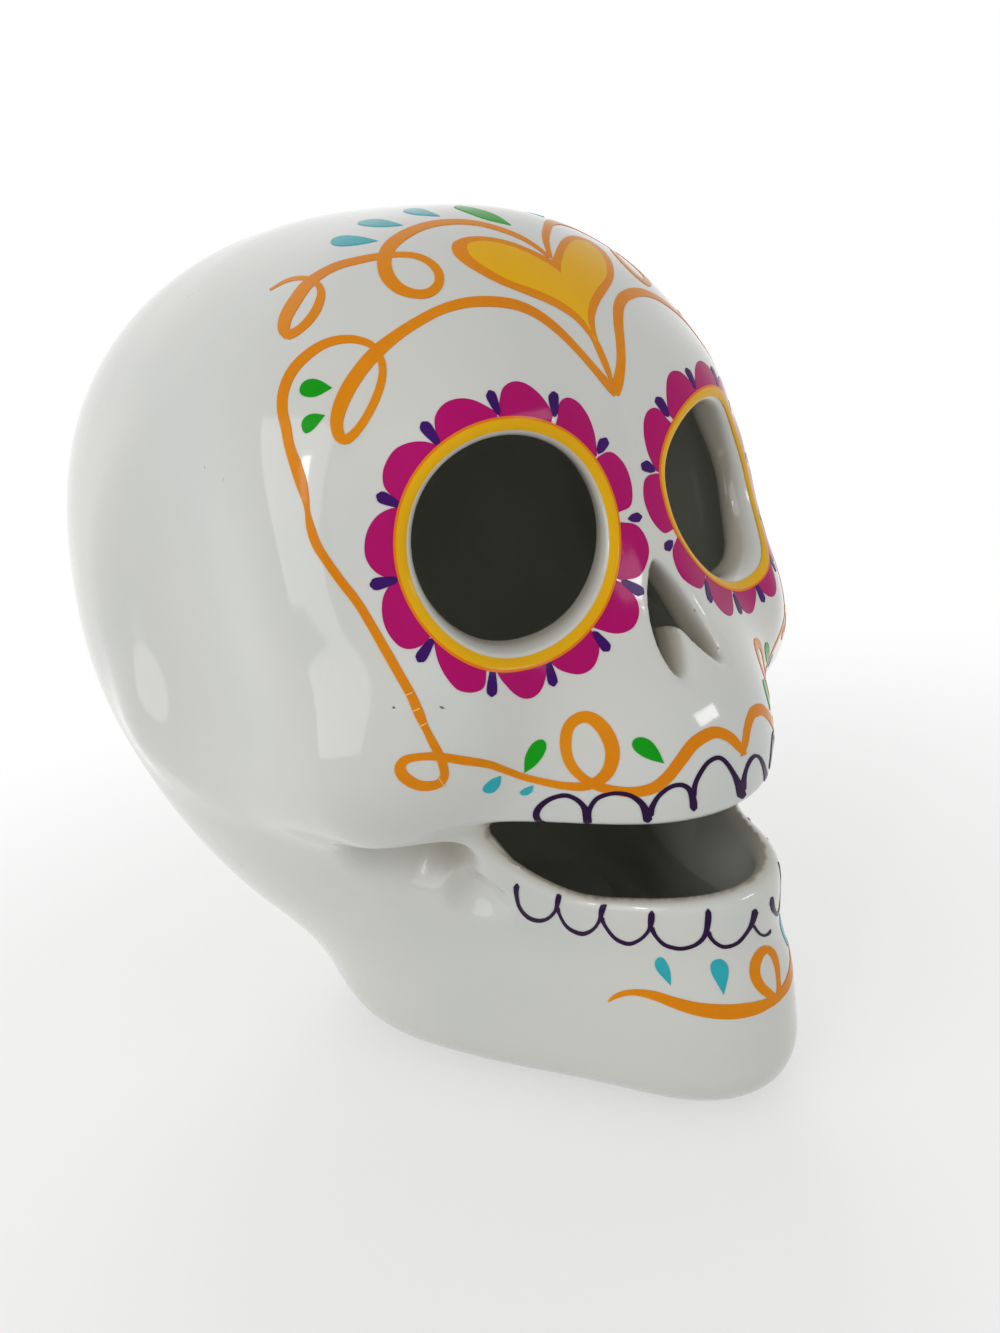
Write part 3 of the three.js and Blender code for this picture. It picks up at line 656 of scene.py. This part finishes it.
def insideEdge(points, edge, margin=2.2):  # points well inside a closed line
    ahead = np.roll(edge, -1, axis=0)
    found = np.zeros(len(points), bool)
    nearest = np.full(len(points), 1e9)
    for (x1, y1), (x2, y2) in zip(edge, ahead):
        rises = (y1 > points[:, 1]) != (y2 > points[:, 1])
        crossing = x1 + (points[:, 1] - y1) * (x2 - x1) / (y2 - y1 if y2 != y1 else 1e-9)
        found ^= rises & (points[:, 0] < crossing)
        along = np.array([x2 - x1, y2 - y1])
        share = np.clip(((points - (x1, y1)) @ along) / (along @ along + 1e-9), 0, 1)
        nearest = np.minimum(nearest, np.linalg.norm(points - (x1, y1) - share[:, None] * along, axis=1))
    return found & (nearest > margin)


# Petals round the near eye, read in the eye's view, from the ring out and back to it
petals = dict(
    colour=paint(178, 2, 104), deep=paint(166, 0, 94), height=0.08,
    base=16.7, baseSteps=8, farTurn=15.0,  # radius where petals start, and half a petal round the far eye
    edges=[
        [(372, 392), (358, 312), (366, 268), (402, 226), (460, 206), (524, 213), (588, 244), (622, 268)],
        [(628, 266), (636, 200), (646, 164), (672, 141), (706, 133), (752, 147), (802, 187), (838, 234),
         (860, 276)],
        [(880, 284), (886, 230), (904, 207), (932, 203), (970, 226), (1008, 280), (1034, 350),
         (1043, 410), (1046, 446)],
        [(1052, 452), (1090, 432), (1124, 442), (1166, 492), (1190, 560), (1196, 620), (1186, 664),
         (1148, 684)],
        [(1150, 730), (1205, 738), (1238, 768), (1262, 820), (1265, 872), (1246, 930), (1216, 964),
         (1150, 976)],
        [(1148, 984), (1200, 1036), (1222, 1082), (1222, 1132), (1200, 1176), (1160, 1198), (1108, 1200),
         (1034, 1178)],
        [(1024, 1190), (1052, 1240), (1055, 1282), (1040, 1330), (1010, 1362), (970, 1375), (922, 1368),
         (880, 1350), (842, 1316)],
        [(834, 1322), (828, 1390), (810, 1440), (780, 1470), (740, 1478), (700, 1460), (660, 1420),
         (632, 1384), (620, 1350)],
        [(578, 1352), (572, 1418), (550, 1444), (502, 1452), (450, 1436), (402, 1378), (370, 1310),
         (354, 1232)],
        [(338, 1220), (302, 1254), (250, 1268), (202, 1250), (156, 1190), (136, 1120), (140, 1050),
         (166, 1000), (204, 978)],
        [(198, 968), (140, 960), (96, 930), (66, 880), (62, 820), (76, 760), (112, 706), (160, 676),
         (212, 664)],
        [(214, 652), (152, 592), (138, 540), (150, 482), (190, 422), (250, 393), (312, 388), (370, 402)],
    ],
)

# Violet dots between the petals: inner end, outer end and width, read in the eye's view
dots = dict(
    colour=paint(62, 6, 104), deep=paint(48, 2, 84), height=0.12,
    widths=((0, 0.5), (0.3, 0.74), (0.6, 0.96), (0.8, 1.0), (1.0, 0.9)),  # along a dot
    ends=[
        ((632, 276), (588, 172), 42), ((868, 284), (860, 176), 42), ((1052, 440), (1084, 372), 46),
        ((1178, 716), (1236, 706), 44), ((1150, 976), (1244, 1034), 44), ((1030, 1192), (1098, 1276), 44),
        ((838, 1318), (864, 1426), 42), ((604, 1352), (600, 1470), 44), ((352, 1222), (288, 1322), 50),
        ((204, 972), (84, 998), 54), ((214, 660), (112, 614), 52), ((378, 402), (304, 306), 52),
    ],
)

# Printed ring on the lip of the eye: radii about the eye's axis
ring = dict(
    colour=paint(230, 176, 14), deep=paint(222, 164, 6), edge=paint(226, 120, 10),
    inner=15.4, outer=17.05, line=17.4, lap=0.3, height=0.18, lineHeight=0.14, turns=144, rows=6,
)


def slideToSkin(points, axis):
    for _ in range(rays["slides"]):
        points = points - rays["share"] * skinField(points)[:, None] * axis
    return points


def eyeFrame():  # the near eye's axis and two directions across it
    flip = np.array([-1, 1, 1])
    axis = eyeOut * flip
    side = unitVector(np.cross(axis, (0, 0, 1)))
    return eyeRim * flip, axis, side, np.cross(axis, side)


def eyeRing(films, inner, outer, height):
    centre, axis, side, rise = eyeFrame()
    turns = np.linspace(0, 2 * math.pi, ring["turns"], endpoint=False)
    radii = np.linspace(inner, outer, ring["rows"])
    flat = np.array([[centre + r * (math.cos(t) * side + math.sin(t) * rise) for r in radii] for t in turns])
    points, normals = settle(slideToSkin(flat.reshape(-1, 3), axis), glazeField)
    wide = len(radii)
    faces = []
    for i in range(len(turns)):
        after = (i + 1) % len(turns)
        for j in range(wide - 1):
            faces.append((i * wide + j, i * wide + j + 1, after * wide + j + 1, after * wide + j))
    films.both(points, normals, films.outward(points, normals, faces), height)


def petalEdge(edge):  # outline in pixels, closed along the ring
    line = smoothPath(fromView("nearEye", edge), film["edgeStep"])[0]
    points, _ = castPixels(line)
    centre, axis, side, rise = eyeFrame()
    ends = [points[-1] - centre, points[0] - centre]
    first, last = (math.atan2(end @ rise, end @ side) for end in ends)
    last = first + (last - first + math.pi) % (2 * math.pi) - math.pi
    turns = np.linspace(first, last, petals["baseSteps"])[:, None]
    arc = centre + petals["base"] * (np.cos(turns) * side + np.sin(turns) * rise)
    return np.concatenate([line, toPixels(slideToSkin(arc, axis))])


def farEye(points):  # turns a mirrored print about the far eye and lays it on the glaze again
    turn = math.radians(petals["farTurn"])
    offset = points - eyeRim
    along = (offset @ eyeOut)[:, None] * eyeOut
    points = eyeRim + along + (offset - along) * math.cos(turn) + np.cross(eyeOut, offset) * math.sin(turn)
    return settle(slideToSkin(points, eyeOut), glazeField)


def makeEyes():
    magenta = Films("magenta_petals", printFinish("magentaPrint", petals["colour"], petals["deep"]))
    for edge in petals["edges"]:
        magenta.fill(petalEdge(edge), petals["height"], moved=farEye)
    magenta.place()
    violet = Films("violet_dots", printFinish("violetPrint", dots["colour"], dots["deep"]))
    for inner, outer, width in dots["ends"]:
        a, b = np.array(inner, float), np.array(outer, float)
        path = [(*(a + (b - a) * share), width * size) for share, size in dots["widths"]]
        violet.stroke([("nearEye", path)], dots["height"], roundEnds=True, moved=farEye)
    violet.place()
    line = Films("ring_lines", printFinish("ringLinePrint", ring["edge"], ring["edge"]))
    eyeRing(line, ring["outer"] - ring["lap"], ring["line"], ring["lineHeight"])
    line.place()
    yellow = Films("eye_rings", printFinish("ringPrint", ring["colour"], ring["deep"]))
    eyeRing(yellow, ring["inner"], ring["outer"], ring["height"])
    yellow.place()


# Orange scrolls: each leg is read in one view, as x, y and width; the chin's loop is in the middle
scrolls = dict(
    colour=paint(224, 138, 8), deep=paint(212, 120, 4),
    brow=[("forehead", [
        (1338, 742, 34), (1310, 715, 30), (1255, 652, 24), (1190, 578, 24), (1120, 508, 28),
        (1040, 449, 32), (960, 417, 36), (870, 407, 38), (780, 413, 37), (690, 440, 36), (600, 488, 38),
        (530, 535, 42), (465, 588, 50), (410, 648, 52), (360, 722, 54), (327, 795, 52), (316, 855, 46),
        (328, 900, 42), (356, 908, 36), (398, 868, 31), (440, 800, 30), (472, 725, 30), (484, 655, 28),
        (466, 592, 26), (428, 558, 26), (360, 544, 29), (282, 558, 32), (212, 600, 36), (155, 660, 38),
        (124, 730, 38), (118, 800, 38), (132, 868, 38)]),
        ("temple", [
        (118, 345, 40), (145, 425, 48), (165, 490, 46), (182, 556, 30), (190, 606, 20), (203, 672, 34),
        (228, 742, 37), (266, 803, 35), (322, 882, 36), (390, 970, 36), (446, 1062, 36), (502, 1160, 38),
        (560, 1262, 38), (604, 1340, 38), (638, 1418, 40), (660, 1468, 30), (690, 1528, 34),
        (716, 1578, 36), (734, 1628, 36), (736, 1668, 34), (706, 1698, 34), (640, 1702, 40),
        (582, 1672, 46), (560, 1636, 46), (578, 1602, 36), (630, 1588, 30)]),
        ("lip", [
        (230, 266, 32), (330, 281, 34), (430, 296, 30), (500, 320, 28), (570, 346, 26), (650, 366, 27),
        (740, 383, 30), (830, 382, 36), (905, 335, 50), (930, 255, 58), (908, 178, 58), (860, 122, 52),
        (808, 108, 46), (758, 142, 46), (742, 210, 46), (756, 285, 42), (800, 342, 36), (860, 380, 36),
        (930, 400, 36), (1010, 408, 40), (1090, 393, 44), (1150, 348, 46), (1202, 282, 48), (1252, 217, 50),
        (1310, 178, 50), (1352, 170, 46), (1400, 190, 40), (1436, 228, 32), (1460, 258, 16)])],
    crown=[("forehead", [
        (1092, 246, 9), (1040, 205, 12), (980, 170, 14), (900, 140, 15), (820, 121, 16), (730, 117, 19),
        (640, 131, 25), (562, 165, 36), (510, 207, 46), (490, 255, 52), (500, 312, 52), (542, 358, 42),
        (600, 379, 33), (652, 376, 34), (686, 346, 35), (688, 305, 32), (660, 268, 26), (608, 242, 21),
        (540, 236, 19), (470, 243, 23), (400, 256, 26), (320, 277, 28), (252, 312, 32), (205, 350, 40),
        (165, 405, 46), (132, 462, 46), (124, 508, 44), (142, 528, 36), (182, 508, 30), (222, 468, 32),
        (250, 420, 32), (260, 372, 28), (240, 338, 22), (198, 322, 16), (138, 330, 12), (72, 365, 6)])],
    chin=[("jaw", [
        (592, 806, 10), (640, 776, 26), (720, 761, 30), (820, 777, 44), (920, 812, 54), (1020, 841, 64),
        (1120, 856, 72), (1220, 858, 74), (1320, 842, 66), (1390, 815, 50), (1440, 785, 40)])],
    chinLoop=[("jaw", [
        (1438, 800, 30), (1392, 767, 46), (1350, 729, 50), (1325, 675, 52), (1327, 617, 52),
        (1350, 567, 46), (1383, 546, 42), (1412, 567, 35), (1431, 617, 27), (1440, 683, 20),
        (1443, 742, 20), (1438, 796, 24)])],
)

# Heart on the forehead: near half from the notch to the tip, read in the forehead view
heart = dict(
    colour=paint(232, 178, 12), deep=paint(226, 164, 4), height=0.16,
    outer=[(1112, 262), (1060, 236), (1020, 217), (950, 190), (870, 173), (800, 172), (752, 186),
           (735, 206), (748, 240), (800, 282), (900, 337), (1000, 378), (1100, 420), (1180, 470),
           (1236, 532), (1262, 585), (1290, 650), (1322, 716)],
    inner=[(1145, 316), (1100, 280), (1060, 256), (1000, 226), (930, 202), (860, 189), (806, 194),
           (790, 208), (808, 246), (868, 290), (950, 334), (1050, 370), (1138, 413), (1205, 466),
           (1246, 524), (1264, 560)],
)


def heartEdge(half):  # near half in pixels, its mirror image carried across on the skin
    near = smoothPath(fromView("forehead", half), film["edgeStep"])[0]
    points, _ = castPixels(near)
    far = toPixels(points * (-1, 1, 1))[::-1]
    return np.concatenate([near, far[1:-1]])


def makeScrolls():
    orange = Films("orange_scrolls", printFinish("orangePrint", scrolls["colour"], scrolls["deep"]))
    yellow = Films("heart_fill", printFinish("yellowPrint", heart["colour"], heart["deep"]))
    for name in ("brow", "crown", "chin", "chinLoop"):
        orange.stroke(scrolls[name], mirrored=name != "chinLoop")
    orange.fill(heartEdge(heart["outer"]), mirrored=False)
    yellow.fill(heartEdge(heart["inner"]), heart["height"], mirrored=False)
    orange.place()
    yellow.place()


# Dark outlines of the teeth: the front and middle ones are read singly, not mirrored
teeth = dict(
    colour=paint(44, 14, 62), deep=paint(34, 8, 48), height=0.13,
    upper=[
        [(831, 545, 36), (827, 500, 34), (812, 462, 22), (780, 434, 17), (738, 421, 16), (684, 434, 17),
         (641, 464, 22), (624, 498, 28), (638, 530, 22), (663, 546, 14)],
        [(830, 508, 32), (839, 474, 20), (868, 434, 17), (928, 413, 16), (992, 418, 18), (1041, 448, 24),
         (1063, 486, 34), (1073, 532, 40)],
        [(1077, 508, 35), (1090, 464, 22), (1117, 421, 17), (1165, 386, 16), (1209, 380, 18),
         (1239, 401, 23), (1252, 443, 29), (1254, 484, 29)],
    ],
    front=[
        [(1252, 432, 25), (1260, 378, 18), (1279, 335, 17), (1311, 290, 16), (1352, 270, 18),
         (1384, 290, 17), (1414, 335, 19), (1436, 384, 30), (1449, 434, 40)],
        [(1449, 405, 30), (1459, 335, 14), (1477, 286, 14), (1500, 262, 14), (1522, 276, 13),
         (1538, 319, 14), (1546, 376, 16)],
    ],
    middle=[
        [(1312, 417, 14), (1329, 446, 13), (1350, 471, 13), (1375, 477, 13), (1396, 464, 12),
         (1402, 446, 11)],
    ],
    lower=[
        [(134, 218, 34), (132, 268, 22), (148, 336, 16), (190, 385, 18), (244, 403, 18), (292, 390, 16),
         (328, 350, 18), (340, 300, 28), (346, 258, 20)],
        [(336, 330, 26), (348, 372, 14), (380, 428, 14), (424, 458, 18), (470, 468, 20), (518, 444, 16),
         (548, 398, 18), (560, 350, 32), (568, 306, 28)],
        [(556, 380, 28), (572, 422, 16), (612, 478, 16), (654, 508, 18), (704, 518, 18), (760, 490, 16),
         (796, 446, 20), (806, 400, 34), (808, 354, 28)],
        [(804, 430, 30), (828, 478, 18), (868, 520, 18), (916, 538, 18), (966, 542, 18), (1030, 522, 18),
         (1074, 476, 24), (1090, 400, 32), (1090, 344, 26)],
        [(1088, 450, 28), (1104, 488, 20), (1136, 520, 18), (1178, 534, 18), (1240, 512, 16),
         (1290, 452, 16), (1312, 408, 24), (1328, 344, 32)],
    ],
)


def makeTeeth():
    dark = Films("tooth_lines", printFinish("toothPrint", teeth["colour"], teeth["deep"]))
    rows = (("upper", "lip", True), ("front", "lip", False),
            ("middle", "jaw", False), ("lower", "jaw", True))
    for row, view, mirrored in rows:
        for points in teeth[row]:
            dark.stroke([(view, points)], teeth["height"], mirrored, roundEnds=True)
    dark.place()


# Green leaves and teal drops: sharp tip first
leaves = dict(
    colour=paint(14, 160, 16), deep=paint(4, 138, 10),
    shapes=[
        ("forehead", [(300, 722), (262, 698), (226, 689), (194, 702), (181, 730), (192, 750), (238, 754)]),
        ("forehead", [(273, 821), (232, 816), (202, 828), (188, 854), (194, 880), (206, 888), (236, 868)]),
        ("lip", [(577, 331), (580, 270), (606, 218), (642, 197), (664, 212), (658, 252), (622, 300)]),
        ("lip", [(1136, 293), (1112, 240), (1082, 203), (1044, 188), (1014, 199), (1009, 226),
                 (1032, 254), (1080, 279)]),
    ],
    single=[  # over the heart, not mirrored
        ("forehead", [(952, 129), (905, 97), (845, 74), (775, 60), (742, 62), (790, 82), (862, 108)]),
    ],
)
drops = dict(
    colour=paint(52, 172, 182), deep=paint(36, 156, 170), single=[],
    shapes=[
        ("forehead", [(466, 186), (400, 171), (338, 168), (300, 181), (297, 198), (334, 205), (400, 199)]),
        ("forehead", [(556, 129), (490, 110), (432, 109), (390, 122), (430, 132), (496, 134)]),
        ("forehead", [(692, 96), (640, 74), (596, 68), (556, 76), (590, 88), (640, 93)]),
        ("lip", [(484, 343), (442, 360), (410, 394), (424, 411), (456, 407), (480, 378)]),
        ("lip", [(613, 381), (578, 394), (557, 412), (582, 421), (608, 406)]),
        ("jaw", [(904, 727), (868, 690), (834, 650), (823, 614), (840, 588), (866, 590), (892, 628),
                 (904, 676)]),
        ("jaw", [(1168, 774), (1138, 722), (1108, 668), (1103, 622), (1130, 597), (1166, 600),
                 (1190, 632), (1190, 684)]),
    ],
)


def makeLeaves():
    kinds = (("green_leaves", "greenPrint", leaves), ("teal_drops", "tealPrint", drops))
    for name, finishName, kind in kinds:
        films = Films(name, printFinish(finishName, kind["colour"], kind["deep"]))
        for view, points in kind["shapes"]:
            films.shape(view, points)
        for view, points in kind["single"]:
            films.shape(view, points, mirrored=False)
        films.place()


# Flaws of this one casting: pale cracks across the temple line and two brown specks
flaws = dict(
    pale=paint(236, 200, 128), brown=paint(120, 84, 40), crackHeight=0.17,
    cracks=[
        [("temple", [(580, 1342, 4), (610, 1330, 4)])], [("temple", [(608, 1406, 4), (640, 1393, 5)])],
        [("temple", [(636, 1468, 5), (666, 1452, 4)])], [("temple", [(716, 1672, 4), (740, 1708, 3)])],
    ],
    specks=[[("lip", [(50, 68, 9), (60, 72, 7)])], [("lip", [(238, 66, 7), (258, 74, 6)])]],
)


def makeFlaws():
    pale = Films("pale_cracks", printFinish("palePrint", flaws["pale"], flaws["pale"]))
    for legs in flaws["cracks"]:
        pale.stroke(legs, flaws["crackHeight"], mirrored=False)
    pale.place()
    brown = Films("brown_specks", printFinish("brownPrint", flaws["brown"], flaws["brown"]))
    for legs in flaws["specks"]:
        brown.stroke(legs, mirrored=False, roundEnds=True)
    brown.place()


print("ornament:")
makeEyes()
makeScrolls()
makeTeeth()
makeLeaves()
makeFlaws()


# Light unit and pads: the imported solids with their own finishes
unit = dict(
    shell=mouldedFinish("unitPlastic", paint(46, 46, 48), paint(58, 58, 59), 0.42, 2600.0, 0.00004),
    housing=mouldedFinish("housingPlastic", paint(168, 168, 160), paint(156, 155, 146),
                          0.45, 2600.0, 0.00004),
    pads=mouldedFinish("padSilicone", paint(190, 190, 184), paint(170, 168, 160), 0.55, 1800.0, 0.00003),
    lens=mouldedFinish("frostedLens", paint(236, 232, 222), paint(226, 220, 206), 0.5, 3200.0, 0.00002),
    lamp=mouldedFinish("lampEpoxy", paint(240, 228, 196), paint(232, 214, 170), 0.12, 500.0, 0.000005),
    board=mouldedFinish("boardMask", paint(22, 92, 52), paint(18, 74, 44), 0.35, 900.0, 0.00001),
    slider=mouldedFinish("sliderPlastic", paint(226, 225, 218), paint(206, 203, 192), 0.4, 2400.0, 0.00002),
    cell=metalFinish("cellSteel", paint(200, 200, 196), paint(176, 174, 166), 0.22, (1, 1, 8)),
    screws=metalFinish("screwSteel", paint(186, 186, 184), paint(158, 156, 150), 0.28, (6, 1, 1)),
    contacts=metalFinish("contactBrass", paint(214, 178, 102), paint(184, 142, 74), 0.25, (1, 8, 1)),
)
finishOf = dict(
    bottom_cover="shell", light_housing="housing", switch_body="shell", battery_door="shell",
    foot_pad_1="pads", foot_pad_2="pads", foot_pad_3="pads", grip_ring="pads",
    light_lens="lens", led_lamp="lamp", circuit_board="board", switch_slider="slider", coin_cell="cell",
    cover_screw_1="screws", cover_screw_2="screws", door_screw="screws",
    negative_contact="contacts", positive_contact="contacts",
)
for node, key in finishOf.items():
    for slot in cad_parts[node].material_slots:
        slot.material = unit[key]
print("light unit finished")


# Pale floor, white surroundings and soft lamps: place in degrees round the skull, size and power
studio = dict(
    floorSize=6.0, floorColour=(0.86, 0.86, 0.85, 1), floorShade=(0.8, 0.8, 0.79, 1),
    floorClouds=3.0, floorMottle=0.05, floorGlow=0.5, glowStart=0.06, glowFull=0.32,
    surround=0.49, target=(0, 0, 0.08),
    lamps=dict(
        window=dict(turn=22, lift=17, distance=1.1, size=(0.38, 0.16), power=1.2),
        pane=dict(turn=-68, lift=30, distance=1.1, size=(0.08, 0.24), power=0.6),
        left=dict(turn=-84, lift=22, distance=1.2, size=(1.1, 1.1), power=4.8),
        side=dict(turn=-40, lift=20, distance=1.2, size=(0.5, 0.6), power=0.2),
        back=dict(turn=142, lift=16, distance=1.2, size=(0.8, 0.6), power=9.3, glints=False),
    ),
)


def seenRays(wire):  # 1 for rays that show the background, straight or in a reflection
    rays = [wire.add("ShaderNodeLightPath", output=name) for name in
            ("Is Camera Ray", "Is Glossy Ray", "Is Transmission Ray")]
    return wire.maths("MINIMUM", rays[0] + rays[1] + rays[2], 1.0)


def makeStudio():
    size = studio["floorSize"] / 2
    finish, here = startFinish("paleFloor")
    away = here.add("ShaderNodeVectorMath", {"operation": "LENGTH"}, {0: here}, output="Value")
    far = away.step(studio["glowStart"], studio["glowFull"])
    share = seenRays(here) * (studio["floorGlow"] + (1 - studio["floorGlow"]) * far)
    clouds = noise(here, studio["floorClouds"])
    colour = (clouds * studio["floorMottle"]).mix(studio["floorColour"], studio["floorShade"])
    plain = here.add("ShaderNodeBsdfDiffuse", {}, {"Color": colour})
    glow = here.add("ShaderNodeEmission", {}, {"Color": (1, 1, 1, 1), "Strength": 1.0})
    both = here.add("ShaderNodeMixShader", {}, {0: share, 1: plain, 2: glow})
    here.add("ShaderNodeOutputMaterial", {}, {"Surface": both})
    mesh = bpy.data.meshes.new("floor")
    corners = [(-size, -size, 0), (size, -size, 0), (size, size, 0), (-size, size, 0)]
    mesh.from_pydata(corners, [], [(0, 1, 2, 3)])
    mesh.materials.append(finish)
    floor = bpy.data.objects.new("floor", mesh)
    bpy.context.scene.collection.objects.link(floor)
    target = Vector(studio["target"])
    for name, lamp in studio["lamps"].items():
        data = bpy.data.lights.new(name, "AREA")
        data.shape = "RECTANGLE"
        data.size, data.size_y = lamp["size"]
        data.energy = lamp["power"]
        turn, lift = math.radians(lamp["turn"]), math.radians(lamp["lift"])
        away = Vector((math.sin(turn) * math.cos(lift), -math.cos(turn) * math.cos(lift), math.sin(lift)))
        light = bpy.data.objects.new(name, data)
        light.location = target + away * lamp["distance"]
        light.rotation_euler = away.to_track_quat("Z", "Y").to_euler()
        light.visible_glossy = lamp.get("glints", True)
        bpy.context.scene.collection.objects.link(light)
    world = bpy.data.worlds.new("surroundings")
    bpy.context.scene.world = world
    world.use_nodes = True
    world.node_tree.nodes.clear()
    sky = Wire(world.node_tree, None)
    strength = seenRays(sky) * (1 - studio["surround"]) + studio["surround"]
    shade = sky.add("ShaderNodeBackground", {}, {"Color": (1, 1, 1, 1), "Strength": strength})
    sky.add("ShaderNodeOutputWorld", {}, {"Surface": shade})
    bpy.context.scene.view_settings.view_transform = "Standard"


makeStudio()
print("studio lit")
